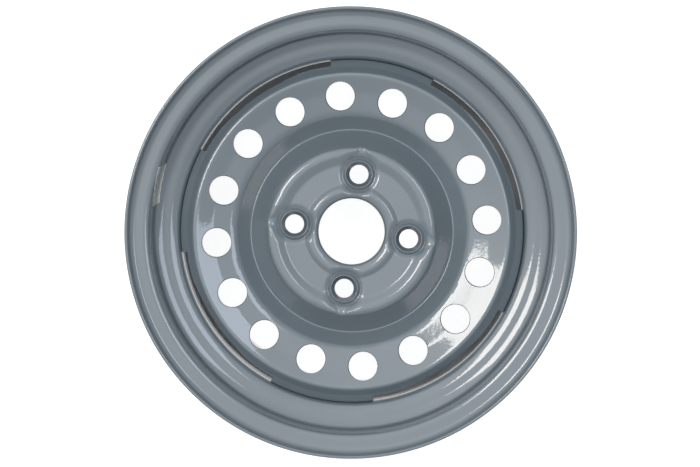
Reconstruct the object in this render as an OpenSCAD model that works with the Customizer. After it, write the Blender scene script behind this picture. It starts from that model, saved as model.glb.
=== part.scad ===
// Pressed steel road wheel: a rolled drop-centre rim and a deep-drawn disc, welded at four tabs.
// Lengths are millimetres. The origin is on the wheel's axis in the plane of the hub face,
// +Z points to the outboard side, and +X passes through a stud hole.

/* [Rim] */
// Diameter of the two bead seats, measured at the foot of each flange
bead_d = 354.8; // [330:0.1:380]
// Width between the flanges on the tyre side
rim_w = 139.7; // [120:0.1:165]
// Distance from the middle of the rim out to the hub face
wheel_offset = 38; // [30:0.5:45]
// Sheet thickness of the rim
rim_t = 3; // [2.4:0.1:3.6]
// Height of a flange above its bead seat
flange_h = 17.5; // [16:0.1:20]
// How far a lip stands out past the tyre side of its flange
lip_reach = 12.5; // [12:0.1:15]
// Radius of the flange's outward curl, at mid sheet
curl_r = 8.5; // [6:0.1:9]
// Radius at the foot of a flange, at mid sheet
heel_r = 4.6; // [4:0.1:7]
// Slope of the bead seats in degrees
seat_slope = 5; // [3:0.5:6]
// Distance from a flange to the crest of its safety hump
hump_in = 19.5; // [18:0.1:21]
// Height of the safety humps
hump_h = 1; // [0.6:0.1:1.4]
// Depth of the drop well below the bead seats
well_depth = 25.2; // [22:0.1:29]
// Distance from the outboard flange to the corner of the well floor
well_in = 38.6; // [37:0.1:41]
// Length of the well floor between its corners
well_w = 43; // [38:0.5:50]
// Lean of the well's outboard wall in degrees
wall_lean = 11; // [8:1:20]
// Distance from the inboard flange to the top of the well's ramp
ramp_in = 30; // [29:0.5:34]
// Radius where the wall and the ramp turn into the well floor, at mid sheet
floor_r = 12.5; // [9:0.5:13]
// Radius where the outboard wall turns into the bead seat, at mid sheet
wall_r = 12.3; // [10:0.1:13]
// Diameter of the valve hole
valve_d = 11.3; // [8:0.1:14]
// Distance from the well floor's outboard corner to the valve hole
valve_in = 21; // [19:0.5:24]
// Angle of the valve hole round the rim
valve_angle = 57; // [35:1:60]

/* [Disc] */
// Sheet thickness of the disc
disc_t = 3.5; // [3:0.1:4]
// Diameter of the hub bore
bore_d = 57.1; // [54:0.1:60]
// Height of the collar round the bore, above the hub face
collar_h = 7.4; // [6.8:0.1:8.5]
// Length of the bore's straight wall
bore_wall = 2.4; // [1.8:0.1:2.8]
// Distance from the bore out to the collar's crest
collar_w = 7.1; // [6.5:0.1:8]
// Distance from the collar's crest out to the flat ring that carries the studs
collar_fall = 5.2; // [4:0.1:6.5]
// Width of the flat ring
flat_w = 17.5; // [16:0.1:19]
// Height of the flat ring's front above the hub face
flat_h = 5; // [4.5:0.1:5.6]
// Distance from the flat ring out to the crest of the hat
hat_rise = 10.1; // [8:0.1:12]
// Height of the hat's crest above the hub face
hat_h = 8; // [7:0.1:9]
// Distance from the hat's crest out to the bottom of the groove
hat_fall = 18; // [16:0.1:20]
// Depth of the groove's bottom below the hub face
groove_h = 14; // [12:0.1:16]
// Distance from the groove's bottom out to the ring of vents
groove_rise = 15.9; // [14:0.1:18]
// Height of the vent ring's inner edge, below the hub face
vent_ring_h = 1; // [0:0.1:2]
// Slope of the vent ring's inner half in degrees
vent_slope = 9.5; // [6:0.5:12]
// How much steeper its outer half is, in degrees
vent_steeper = 5; // [0:0.5:6]
// Slope from the ring's shoulder down to the crease where the tabs begin, in degrees
shoulder_slope = 50; // [42:1:56]
// Slope of the tabs from that crease out to the skirt, in degrees
tab_slope = 32; // [24:1:38]
// Depth of the skirt's edge below the hub face
skirt_h = 35; // [30:0.5:38]

/* [Studs] */
// Number of studs
stud_count = 4; // [3:1:5]
// Diameter of the circle of studs
stud_circle_d = 100; // [98:0.5:102]
// Diameter of a stud hole at the hub face
stud_d = 16; // [13:0.1:17]
// Length of the straight wall of a stud hole
stud_wall = 1.6; // [1.2:0.1:2.4]
// Diameter of the mouth of a nut seat
seat_d = 22.6; // [21:0.1:24]
// Angle of the cone of a nut seat in degrees
seat_cone = 60; // [50:1:70]
// Wall round the mouth of a nut seat
seat_wall = 1; // [0.6:0.1:1.4]
// Diameter of the dished pad round a stud hole, at its floor
pad_d = 28.2; // [27.6:0.1:31]
// Width of the notch that runs from a pad through the hat
notch_w = 9; // [7:0.5:11]
// Height of the notch's floor above the hub face
notch_h = 6.2; // [5.6:0.1:6.6]

/* [Vents and tabs] */
// Number of vent holes
vent_count = 16; // [12:2:18]
// Diameter of a vent hole
vent_d = 24.4; // [20:0.1:26]
// Distance from the inner edge of the vent ring to the middles of the outer vent holes
vent_in = 15.7; // [13:0.1:17]
// How much further in every second vent hole sits
vent_stagger = 1.2; // [0:0.1:2]
// Angle of the first vent hole from the first stud
vent_turn = 12.2; // [0:0.1:22.4]
// Number of tabs that hold the disc in the rim
tab_count = 4; // [3:1:4]
// Angle that each tab covers
tab_angle = 35.5; // [25:0.5:45]
// Angle of the first tab's middle from the first stud
tab_turn = -3.2; // [-8:0.1:8]
// Gap between the disc's trimmed edge and the rim, between the tabs
slot_gap = 5; // [4:0.1:9]
// Leg of the weld beads at the tabs
weld_leg = 3; // [2:0.1:3.5]
// Angle that each weld bead covers
weld_angle = 26; // [15:1:30]

/* [Label] */
// Length of the label along the rim
label_l = 36; // [20:1:50]
// Width of the label, from the bead seat to the well's wall
label_w = 9; // [5:0.5:10]
// Thickness of the label
label_t = 0.2; // [0.1:0.05:0.4]
// Angle of the label's middle round the rim
label_angle = 173.5; // [0:0.5:359]
// Lean of the label in degrees
label_lean = 6; // [0:1:12]

/* [Hidden] */
$fn = 96;
paint = "#868D94";
paper = "#CFCCC2";
arc_step = 13;
cut = 1;
// How far past the hat's crest the notches reach
notch_past = 5;
// The vent ring's shoulder and the crease stand this far in from the skirt, and the ring gets steeper
// at this share of the way to its shoulder
shoulder_in = 10.6;
crease_in = 5.7;
dish_share = 0.55;
// The label's slab stands at this angle to the wheel's face, and is this many sheets thick
label_stand = 55;
label_slab = 4;

// Heights of the two flanges' tyre sides
out_z = rim_w / 2 - wheel_offset;
in_z = out_z - rim_w;
// Radii of the rim, at mid sheet
lip_r = bead_d / 2 + flange_h - rim_t / 2;
heel_mid_r = bead_d / 2 - rim_t / 2;
well_r = heel_mid_r - well_depth;
// Inside of the well floor, where the skirt is pressed in
bore_of_rim = well_r - rim_t / 2;
well_out_z = out_z - well_in;
well_in_z = well_out_z - well_w;
// A hump's corners lie this far to each side of its crest, and its corner point stands above the crest
hump_run = 4.5;
hump_corner = 1.6;
hump_foot_r = 4;
hump_crest_r = 3.4;

// A bead seat's radius at a distance in from its flange
function seat_r(in) = heel_mid_r - (in + rim_t / 2) * tan(seat_slope);

// One end of the rim as corner points [radius, distance in from the flange, fillet radius]
rim_end = [
    [lip_r, -lip_reach, 0],
    [lip_r, -rim_t / 2, curl_r],
    [heel_mid_r, -rim_t / 2, heel_r],
    [seat_r(hump_in - hump_run), hump_in - hump_run, hump_foot_r],
    [seat_r(hump_in) + hump_h * hump_corner, hump_in, hump_crest_r]
];
wall_top_r = seat_r(hump_in + hump_run);
wall_top_z = well_out_z + (wall_top_r - well_r) * tan(wall_lean);
ramp_top_z = in_z + ramp_in;

// The whole rim from the outboard lip to the inboard lip, as [radius, height, fillet radius]
rim_path = concat(
    [for (p = rim_end) [p[0], out_z - p[1], p[2]]],
    [
        [wall_top_r, wall_top_z, wall_r],
        [well_r, well_out_z, floor_r],
        [well_r, well_in_z, floor_r],
        [wall_top_r, ramp_top_z, floor_r]
    ],
    [for (i = [len(rim_end) - 1:-1:0]) let (p = rim_end[i]) [p[0], in_z + p[1], p[2]]]
);

// Radii of the disc's rings, from the bore outwards
collar_crest_r = bore_d / 2 + collar_w;
flat_in_r = collar_crest_r + collar_fall;
flat_out_r = flat_in_r + flat_w;
hat_r = flat_out_r + hat_rise;
groove_r = hat_r + hat_fall;
vent_ring_r = groove_r + groove_rise;
vent_circle_r = vent_ring_r + vent_in;

// The disc from the bore to the skirt's edge, as [radius, height, fillet radius] at mid sheet
half = disc_t / 2;
skirt_r = bore_of_rim - half;
function half_down(z) = z - half;
shoulder_r = skirt_r - shoulder_in;
crease_r = skirt_r - crease_in;
dish_r = vent_ring_r + dish_share * (shoulder_r - vent_ring_r);
dish_z = half_down(-vent_ring_h) + (dish_r - vent_ring_r) * tan(vent_slope);
shoulder_z = dish_z + (shoulder_r - dish_r) * tan(vent_slope + vent_steeper);
crease_z = shoulder_z - (crease_r - shoulder_r) * tan(shoulder_slope);
bend_z = crease_z - (skirt_r - crease_r) * tan(tab_slope);

// Radii of the disc's bends at mid sheet, from the bore outwards
collar_bend_r = 2.8;
bend_above_wall = 0.7 * collar_bend_r;
crest_in_bend_r = 4;
crest_out_bend_r = 3;
flat_in_bend_r = 2.2;
flat_out_bend_r = 2.6;
hat_in_bend_r = 6;
hat_out_bend_r = 5.5;
groove_in_bend_r = 3;
groove_out_bend_r = 3.5;
vent_ring_bend_r = 8;
dish_bend_r = 40;
shoulder_bend_r = 5.2;
crease_bend_r = 3.2;
skirt_bend_r = 2.6;

// How far the flats on the collar and in the groove reach in and out from their middles
crest_flat = [1.2, 1.6];
groove_flat = [2.2, 1.7];
// The hat's flat starts this far out from the flat ring, and ends this far past the crest
hat_run = 4;
hat_flat = 2.5;

disc_path = [
    [bore_d / 2 + half, 0, 0],
    [bore_d / 2 + half, bore_wall + bend_above_wall, collar_bend_r],
    [collar_crest_r - crest_flat[0], half_down(collar_h), crest_in_bend_r],
    [collar_crest_r + crest_flat[1], half_down(collar_h), crest_out_bend_r],
    [flat_in_r, half_down(flat_h), flat_in_bend_r],
    [flat_out_r, half_down(flat_h), flat_out_bend_r],
    [flat_out_r + hat_run, half_down(hat_h), hat_in_bend_r],
    [hat_r + hat_flat, half_down(hat_h), hat_out_bend_r],
    [groove_r - groove_flat[0], half_down(-groove_h), groove_in_bend_r],
    [groove_r + groove_flat[1], half_down(-groove_h), groove_out_bend_r],
    [vent_ring_r, half_down(-vent_ring_h), vent_ring_bend_r],
    [dish_r, dish_z, dish_bend_r],
    [shoulder_r, shoulder_z, shoulder_bend_r],
    [crease_r, crease_z, crease_bend_r],
    [skirt_r, bend_z, skirt_bend_r],
    [skirt_r, -skirt_h, 0]
];

// Corner of a bent sheet: the arc that rounds it, at a distance to the left of the path
function unit(v) = v / norm(v);
function left_of(v) = [-v[1], v[0]];
function xy(p) = [p[0], p[1]];
function bend(a, b, c, r, shift) =
    let (
        u = unit(b - a),
        v = unit(c - b),
        turn = atan2(u[0] * v[1] - u[1] * v[0], u * v),
        side = turn > 0 ? 1 : -1,
        centre = b - u * r * tan(abs(turn) / 2) + side * r * left_of(u),
        start = -side * left_of(u) * (r - side * shift),
        steps = max(1, ceil(abs(turn) / arc_step))
    )
    [for (i = [0:steps]) let (t = turn * i / steps)
        centre + [start[0] * cos(t) - start[1] * sin(t), start[0] * sin(t) + start[1] * cos(t)]];

// One face of a bent sheet: the path's rounded line, shifted to its left
function sheet_face(path, shift) = concat(
    [xy(path[0]) + shift * left_of(unit(xy(path[1]) - xy(path[0])))],
    [for (i = [1:len(path) - 2])
        each bend(xy(path[i - 1]), xy(path[i]), xy(path[i + 1]), path[i][2], shift)],
    [let (n = len(path) - 1)
        xy(path[n]) + shift * left_of(unit(xy(path[n]) - xy(path[n - 1])))]
);
function backwards(list) = [for (i = [len(list) - 1:-1:0]) list[i]];
function sheet_outline(path, t) = concat(sheet_face(path, t / 2), backwards(sheet_face(path, -t / 2)));

// A slice of a ring, between two radii and two heights, centred on an angle
module ring_slice(r_in, r_out, z_low, z_high, middle, angle) {
    rotate([0, 0, middle - angle / 2])
        rotate_extrude(angle = angle, $fn = 180)
            polygon([[r_in, z_low], [r_out, z_low], [r_out, z_high], [r_in, z_high]]);
}

module at_studs() {
    for (i = [0:stud_count - 1])
        rotate([0, 0, i * 360 / stud_count])
            translate([stud_circle_d / 2, 0, 0])
                children();
}

// The rolled rim: two flanges, bead seats with humps, and the drop well with its valve hole
module rim() {
    color(paint)
        difference() {
            rotate_extrude($fn = 180)
                polygon(sheet_outline(rim_path, rim_t));
            rotate([0, 0, valve_angle])
                translate([well_r, 0, well_out_z - valve_in])
                    rotate([0, 90, 0])
                        cylinder(d = valve_d, h = rim_t * 4, center = true);
        }
}

// The nut seat's cone runs from the straight wall of the hole up to its mouth
seat_h = (seat_d - stud_d) / 2 / tan(seat_cone / 2);
seat_top = stud_wall + seat_h;
boss_d = seat_d + 2 * seat_wall;

// The sheet of a dished pad behind the disc's front: its floor and its sloping wall
module pad_cup() {
    foot_r = pad_d / 2 + (sqrt(2) - 1) * disc_t;
    cylinder(r1 = foot_r, r2 = foot_r + hat_h, h = hat_h);
}

// All that lies behind the middle of the disc's sheet, from the bore to the hat's crest
module behind_sheet() {
    middle = [for (p = sheet_face(disc_path, 0)) if (p[0] < hat_r + hat_flat) p];
    rotate_extrude($fn = 180)
        polygon(concat(middle, [[middle[len(middle) - 1][0], 0]]));
}

// The raised seat of a nut
module nut_seat() {
    cylinder(d1 = boss_d + 2 * seat_wall, d2 = boss_d, h = seat_top);
}

module stud_hole() {
    translate([0, 0, -cut])
        cylinder(d = stud_d, h = seat_top + 2 * cut);
    translate([0, 0, stud_wall])
        cylinder(d1 = stud_d, d2 = seat_d, h = seat_h);
}

// What a pad takes away from the front of the disc: its dish, and the notch through the hat
module pad_dish() {
    rise = collar_h + hat_h;
    translate([0, 0, disc_t])
        cylinder(d1 = pad_d, d2 = pad_d + 2 * rise, h = rise);
    translate([0, -notch_w / 2, notch_h])
        cube([hat_r + notch_past - stud_circle_d / 2, notch_w, rise]);
}

// The pressed disc: collar, flat ring, hat, groove, vent ring and skirt tabs
module disc() {
    trim_r = bore_of_rim - slot_gap;
    slot_angle = 360 / tab_count - tab_angle;
    color(paint)
        difference() {
            union() {
                difference() {
                    union() {
                        rotate_extrude($fn = 180)
                            polygon(sheet_outline(disc_path, disc_t));
                        intersection() {
                            behind_sheet();
                            at_studs() pad_cup();
                        }
                    }
                    at_studs() pad_dish();
                }
                at_studs() nut_seat();
            }
            at_studs() stud_hole();
            for (i = [0:vent_count - 1])
                rotate([0, 0, vent_turn + i * 360 / vent_count])
                    translate([vent_circle_r - (i % 2) * vent_stagger, 0, -skirt_h])
                        cylinder(d = vent_d, h = 2 * skirt_h);
            for (i = [0:tab_count - 1])
                ring_slice(trim_r, bore_of_rim + cut, -skirt_h - cut, skirt_h,
                           tab_turn + (i + 0.5) * 360 / tab_count, slot_angle);
        }
}

// A fillet weld in the corner between a tab's edge and the well floor, with a bulging face
module weld(i) {
    middle = tab_turn + (i - 1) * 360 / tab_count;
    bulge = 0.62 * weld_leg;
    color(paint)
        rotate([0, 0, middle - weld_angle / 2])
            rotate_extrude(angle = weld_angle, $fn = 180)
                polygon([
                    [bore_of_rim, -skirt_h],
                    [bore_of_rim - weld_leg, -skirt_h],
                    [bore_of_rim - bulge, -skirt_h - bulge],
                    [bore_of_rim, -skirt_h - weld_leg]
                ]);
}

// A blank paper label over the corner where the outboard bead seat meets the well's wall
module label() {
    face = sheet_face(rim_path, -rim_t / 2);
    paper_face = sheet_face(rim_path, -rim_t / 2 - label_t);
    strip = [for (i = [0:len(face) - 1])
        if (face[i][1] > well_out_z && face[i][1] < out_z - 2 * heel_r && face[i][0] > well_r) i];
    sweep = 2 * label_l / bead_d * 360 / PI;
    color(paper)
        intersection() {
            rotate([0, 0, label_angle - sweep / 2])
                rotate_extrude(angle = sweep, $fn = 180)
                    polygon(concat([for (i = strip) face[i]], backwards([for (i = strip) paper_face[i]])));
            rotate([0, 0, label_angle])
                translate([wall_top_r - rim_t, 0, wall_top_z + rim_t])
                    rotate([0, 90 - label_stand, 0])
                        rotate([-label_lean, 0, 0])
                            cube([label_slab * rim_t, label_l, label_w], center = true);
        }
}

rim();
disc();
weld(1);  // weld_1
weld(2);  // weld_2
weld(3);  // weld_3
weld(4);  // weld_4
label();
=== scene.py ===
"""A painted pressed steel road wheel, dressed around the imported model.

The rim is a strip of sheet, rolled to a drop-centre profile and butt welded. The disc is deep drawn,
pierced with sixteen vents and four seats for the nuts, and held in the rim by four welded tabs.
Both are stoved with one coat of gloss grey enamel.
"""

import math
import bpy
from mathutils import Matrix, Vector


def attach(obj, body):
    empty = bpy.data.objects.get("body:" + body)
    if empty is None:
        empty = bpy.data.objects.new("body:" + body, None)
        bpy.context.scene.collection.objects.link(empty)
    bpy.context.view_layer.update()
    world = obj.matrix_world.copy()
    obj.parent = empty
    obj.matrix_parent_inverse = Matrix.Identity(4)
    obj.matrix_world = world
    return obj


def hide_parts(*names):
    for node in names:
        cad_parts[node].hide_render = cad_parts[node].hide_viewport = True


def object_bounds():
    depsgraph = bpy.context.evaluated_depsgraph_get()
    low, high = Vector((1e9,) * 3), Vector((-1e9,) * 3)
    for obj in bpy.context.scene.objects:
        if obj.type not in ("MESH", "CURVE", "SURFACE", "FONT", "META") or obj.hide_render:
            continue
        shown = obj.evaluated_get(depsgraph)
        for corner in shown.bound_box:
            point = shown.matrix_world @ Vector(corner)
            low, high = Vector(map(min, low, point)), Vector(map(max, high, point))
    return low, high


bl_info = {
    "name": "Pressed Steel Wheel",
    "version": (1, 0, 0),
    "blender": (4, 5, 0),
    "location": "3D View > Sidebar > Steel Wheel",
    "description": "Builds a painted pressed steel road wheel with its welds and a blank label",
    "category": "Add Mesh",
}

import bmesh
import bpy
import numpy as np
from mathutils import Matrix, Vector

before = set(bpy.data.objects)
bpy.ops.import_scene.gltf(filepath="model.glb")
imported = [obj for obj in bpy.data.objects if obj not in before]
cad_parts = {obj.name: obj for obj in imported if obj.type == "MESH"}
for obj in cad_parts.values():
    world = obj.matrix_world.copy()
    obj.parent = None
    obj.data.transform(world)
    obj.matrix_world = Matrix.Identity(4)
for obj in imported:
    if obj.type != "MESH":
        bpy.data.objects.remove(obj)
CAD_LOW, CAD_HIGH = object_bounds()

MM = 0.001
BODY = "root"


# Sizes that stay with the pressing tools, in millimetres

LIP_REACH = 12.5
CURL_R = 7.8
HEEL_R = 1.9
SEAT_SLOPE = math.radians(5)
HUMP_IN = 19.5
HUMP_H = 1.0
HUMP_RUN = 4.5
FLANGE_RUN = 3.6
FLANGE_SLOPE = math.radians(13)
FOOT_SLOPE = math.radians(20)
WALL_SLOPE = math.radians(5)
BROW_SLOPE = math.radians(20)
FOOT_RUN = 7.4
WALL_RUN = 7.7
FOOT_DROP = 1.4
RAMP_IN = 30.0
VALVE_IN = 21.0
BUTT_H = 0.06
BUTT_W = 1.6

# Bends of the rim at mid sheet. A hump's corner point stands this many times its height above the seat.
FLANGE_BEND_R = 10
HUMP_FOOT_R = 4
HUMP_CREST_R = 3.4
HUMP_CORNER = 1.6
FLOOR_R = 12.5
FOOT_R = 5.0
WALL_LOW_R = 20
WALL_HIGH_R = 22
BROW_R = 6.0

BORE_WALL = 2.4
COLLAR_H = 7.4
FLAT_H = 5.0
HAT_H = 8.0
SKIRT_H = 35.0
GROOVE_IN_R = 86.9
GROOVE_OUT_R = 89.5
VENT_RING_R = 102.35
VENT_RING_DROP = 1
VENT_IN = 15.7
SHOULDER_IN = 10.6
CREASE_IN = 5.7
DISH_SHARE = 0.55
RING_SLOPE = math.radians(9.5)
DISH_SLOPE = math.radians(14.5)
SHOULDER_SLOPE = math.radians(50)
TAB_SLOPE = math.radians(32)
STUD_WALL = 1.6
SEAT_CONE = math.radians(60)
STUD_COUNT = 4
VENT_COUNT = 16
VENT_STAGGER = 1.2
VENT_TURN = math.radians(12.2)
TAB_HALF = math.radians(17.75)
TAB_TURN = math.radians(-3.2)
WELD_HALF = math.radians(13)

# Bends of the disc at mid sheet
COLLAR_BEND_R = 2.8
GROOVE_BEND_R = 2.6
RING_BEND_R = 8
DISH_BEND_R = 40
SHOULDER_BEND_R = 2.2
CREASE_BEND_R = 3.2
SKIRT_BEND_R = 2.6

# The disc's rings from the collar's crest out to the hat, as (radius, front above hub face, bend radius)
HUB_RINGS = (
    (34.45, COLLAR_H, 4),
    (37.25, COLLAR_H, 3),
    (40.85, FLAT_H, 2.2),
    (58.9, FLAT_H, 6),
    (65.6, HAT_H, 4),
    (70.95, HAT_H, 4.2),
)


def length(name, what, size):
    """A property that is a length, given in millimetres."""
    return bpy.props.FloatProperty(name=name, description=what, default=size * MM, min=0.0, precision=4,
                                   subtype="DISTANCE", unit="LENGTH")


def rotation(name, what, degrees):
    """A property that is an angle, given in degrees."""
    return bpy.props.FloatProperty(name=name, description=what, default=math.radians(degrees),
                                   subtype="ANGLE", unit="ROTATION")


def paint(name, what, hex_code):
    """A property that is a colour, given as an sRGB hex code."""
    return bpy.props.FloatVectorProperty(name=name, description=what, default=colour(hex_code), size=4,
                                         min=0.0, max=1.0, subtype="COLOR")


def colour(hex_code):
    """An sRGB hex colour as the linear values that Blender takes."""
    parts = [int(hex_code[i:i + 2], 16) / 255 for i in (1, 3, 5)]
    return [c / 12.92 if c <= 0.04045 else ((c + 0.055) / 1.055) ** 2.4 for c in parts] + [1.0]


class WheelSizes(bpy.types.PropertyGroup):
    """The sizes of the wheel that a user would change."""

    bead_d: length("Bead seat diameter", "Diameter of the two bead seats at the foot of each flange", 354.8)
    rim_w: length("Rim width", "Width between the flanges on the tyre side", 139.7)
    offset: length("Offset", "Distance from the middle of the rim out to the hub face", 38.0)
    rim_t: length("Rim sheet", "Thickness of the rim's sheet", 3.0)
    flange_h: length("Flange height", "Height of a flange above its bead seat", 17.5)
    well_depth: length("Well depth", "Depth of the drop well below the bead seats", 25.2)
    well_in: length("Well place", "Distance from the outboard flange to the corner of the well floor", 38.6)
    well_w: length("Well length", "Length of the well floor between its corners", 43.0)
    valve_d: length("Valve hole", "Diameter of the valve hole", 11.3)
    valve_turn: rotation("Valve angle", "Angle of the valve hole round the rim", 57)
    butt_turn: rotation("Butt weld angle", "Angle of the rim's butt weld", 287.2)
    disc_t: length("Disc sheet", "Thickness of the disc's sheet", 3.5)
    bore_d: length("Hub bore", "Diameter of the hub bore", 57.1)
    groove_h: length("Groove depth", "Depth of the groove's bottom below the hub face", 14.0)
    stud_circle_d: length("Stud circle", "Diameter of the circle of studs", 100.0)
    stud_d: length("Stud hole", "Diameter of a stud hole at the hub face", 16.0)
    seat_d: length("Nut seat", "Diameter of the mouth of a nut seat", 22.6)
    pad_d: length("Pad", "Diameter of the dished pad round a stud hole, at its floor", 28.2)
    vent_d: length("Vent hole", "Diameter of a vent hole", 24.4)
    slot_gap: length("Slot gap", "Gap between the disc's trimmed edge and the rim", 5.0)
    weld_leg: length("Weld leg", "Leg of the weld beads at the tabs", 3.0)


class WheelFinish(bpy.types.PropertyGroup):
    """The colours of the wheel that a user would change."""

    enamel: paint("Enamel", "The even grey of the enamel", "#758087")
    enamel_thin: paint("Thin enamel", "The enamel where the coat is thinner", "#707B82")
    paper: paint("Paper", "The label's paper", "#F4F1E8")
    # The grey of a reflection that is painted along the label's middle
    paper_painted_reflection: paint("Painted reflection on paper", "The label where it is rubbed and greyed", "#CDCECB")


def mm(value):
    """A property's length in millimetres, without the float's last digits."""
    return round(value / MM, 4)


class Shape:
    """The wheel's sizes in millimetres, and the radii and heights that follow from them."""

    def __init__(self, sizes):
        for key in WheelSizes.__annotations__:
            value = getattr(sizes, key)
            setattr(self, key, value if key.endswith("_turn") else mm(value))
        self.out_z = self.rim_w / 2 - self.offset
        self.in_z = self.out_z - self.rim_w
        self.heel_mid = self.bead_d / 2 - self.rim_t / 2
        self.lip_mid = self.bead_d / 2 + self.flange_h - self.rim_t / 2
        self.well_mid = self.heel_mid - self.well_depth
        self.rim_bore = self.well_mid - self.rim_t / 2
        self.skirt_mid = self.rim_bore - self.disc_t / 2
        self.well_out = self.out_z - self.well_in
        self.vent_circle = VENT_RING_R + VENT_IN

    def seat(self, inward):
        """Radius of a bead seat at mid sheet, at a distance inboard of its flange."""
        return self.heel_mid - (inward + self.rim_t / 2) * math.tan(SEAT_SLOPE)

    def rim_corners(self):
        """Corners of the rim's profile at mid sheet, from lip to lip, as (radius, height, bend radius)."""
        end = [
            (self.lip_mid, -LIP_REACH, 0),
            (self.lip_mid, -self.rim_t / 2, CURL_R),
            (self.heel_mid + FLANGE_RUN, -self.rim_t / 2, FLANGE_BEND_R),
            (self.heel_mid, -self.rim_t / 2 + FLANGE_RUN * math.tan(FLANGE_SLOPE), HEEL_R),
            (self.seat(HUMP_IN - HUMP_RUN), HUMP_IN - HUMP_RUN, HUMP_FOOT_R),
            (self.seat(HUMP_IN) + HUMP_CORNER * HUMP_H, HUMP_IN, HUMP_CREST_R),
        ]
        top = self.seat(HUMP_IN + HUMP_RUN)
        well_in = self.well_out - self.well_w
        # The outboard wall stands on a sloping foot, and leans in again under the bead seat
        foot_z = self.well_out - FOOT_DROP
        foot_r, brow_r = self.well_mid + FOOT_RUN, self.well_mid + FOOT_RUN + WALL_RUN
        wall_z = foot_z + FOOT_RUN * math.tan(FOOT_SLOPE)
        brow_z = wall_z + WALL_RUN * math.tan(WALL_SLOPE)
        middle = [
            (top, brow_z + (top - brow_r) * math.tan(BROW_SLOPE), BROW_R),
            (brow_r, brow_z, WALL_HIGH_R),
            (foot_r, wall_z, WALL_LOW_R),
            (self.well_mid, foot_z, FOOT_R),
            (self.well_mid, well_in, FLOOR_R),
            (top, self.in_z + RAMP_IN, FLOOR_R),
        ]
        outboard = [(r, self.out_z - z, b) for r, z, b in end]
        inboard = [(r, self.in_z + z, b) for r, z, b in reversed(end)]
        return outboard + middle + inboard

    def disc_corners(self):
        """Corners of the disc's profile at mid sheet, from the bore to the skirt's edge."""
        half = self.disc_t / 2
        bore = self.bore_d / 2
        # The vent ring climbs, is bent down at its shoulder, and eases out again where the tabs begin
        shoulder_r, crease_r = self.skirt_mid - SHOULDER_IN, self.skirt_mid - CREASE_IN
        dish_r = VENT_RING_R + DISH_SHARE * (shoulder_r - VENT_RING_R)
        dish_z = -VENT_RING_DROP - half + (dish_r - VENT_RING_R) * math.tan(RING_SLOPE)
        shoulder_z = dish_z + (shoulder_r - dish_r) * math.tan(DISH_SLOPE)
        crease_z = shoulder_z - (crease_r - shoulder_r) * math.tan(SHOULDER_SLOPE)
        bend_z = crease_z - (self.skirt_mid - crease_r) * math.tan(TAB_SLOPE)
        return [
            (bore + half, 0, 0),
            (bore + half, BORE_WALL + 0.7 * COLLAR_BEND_R, COLLAR_BEND_R),
            *[(r, z - half, b) for r, z, b in HUB_RINGS],
            (GROOVE_IN_R, -self.groove_h - half, GROOVE_BEND_R),
            (GROOVE_OUT_R, -self.groove_h - half, GROOVE_BEND_R),
            (VENT_RING_R, -VENT_RING_DROP - half, RING_BEND_R),
            (dish_r, dish_z, DISH_BEND_R),
            (shoulder_r, shoulder_z, SHOULDER_BEND_R),
            (crease_r, crease_z, CREASE_BEND_R),
            (self.skirt_mid, bend_z, SKIRT_BEND_R),
            (self.skirt_mid, -SKIRT_H, 0),
        ]


def bent_line(corners, shift, arc_step):
    """The corners' line with its bends, moved to its left by shift, as an array of (radius, height)."""
    pts = [np.array(c[:2], float) for c in corners]

    def unit(v):
        return v / np.linalg.norm(v)

    def left(v):
        return np.array([-v[1], v[0]])

    out = [pts[0] + shift * left(unit(pts[1] - pts[0]))]
    for a, b, c, radius in zip(pts, pts[1:], pts[2:], [c[2] for c in corners[1:]]):
        u, v = unit(b - a), unit(c - b)
        turn = math.atan2(u[0] * v[1] - u[1] * v[0], u @ v)
        side = 1 if turn > 0 else -1
        centre = b - u * radius * math.tan(abs(turn) / 2) + side * radius * left(u)
        start = -side * left(u) * (radius - side * shift)
        steps = max(2, math.ceil(abs(turn) / arc_step))
        for i in range(steps + 1):
            t = turn * i / steps
            ct, st = math.cos(t), math.sin(t)
            out.append(centre + [start[0] * ct - start[1] * st, start[0] * st + start[1] * ct])
    out.append(pts[-1] + shift * left(unit(pts[-1] - pts[-2])))
    return np.array(out)


def sheet_lines(corners, thick, arc_step, line_step):
    """Front and back of a bent sheet, with as many points on each; line_step gives the step at a radius."""
    lines = [bent_line(corners, s, arc_step) for s in (thick / 2, 0, -thick / 2)]
    middle = lines[1]
    full = [[line[0]] for line in lines]
    for i in range(1, len(middle)):
        gap = np.linalg.norm(middle[i] - middle[i - 1])
        if gap < 1e-6:
            continue
        parts = max(1, math.ceil(gap / line_step(middle[i][0])))
        for k in range(1, parts + 1):
            for line, kept in zip(lines, full):
                kept.append(line[i - 1] + (line[i] - line[i - 1]) * k / parts)
    return [np.array(kept) for kept in full]


def smooth_min(a, b, k):
    """The lower of two heights, with the crease between them rounded over k."""
    h = np.clip(0.5 + 0.5 * (b - a) / k, 0, 1)
    return b * (1 - h) + a * h - k * h * (1 - h)


def smooth_max(a, b, k):
    return -smooth_min(-a, -b, k)


def ease(value, start, end):
    """Goes smoothly from 0 at start to 1 at end."""
    t = np.clip((np.asarray(value, float) - start) / (end - start), 0, 1)
    return t * t * (3 - 2 * t)


def plain_object(name, mesh):
    obj = bpy.data.objects.new(name, mesh)
    bpy.context.scene.collection.objects.link(obj)
    return obj


def smooth_mesh(mesh, angle):
    """Shades a mesh smooth, and sharp where it bends by more than an angle in degrees."""
    mesh.polygons.foreach_set("use_smooth", [True] * len(mesh.polygons))
    mesh.set_sharp_from_angle(angle=math.radians(angle))
    mesh.update()


def finish_piece(obj, material, node):
    """Gives a piece its material and its body, and hides the CAD node that it stands for."""
    obj.data.materials.clear()
    obj.data.materials.append(material)
    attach(obj, BODY)
    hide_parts(node)


# Rows of a rounded edge, and the least share of a corner's mitre that its points keep

EDGE_STEPS = 3
MITRE_LEAST = 0.6


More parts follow.
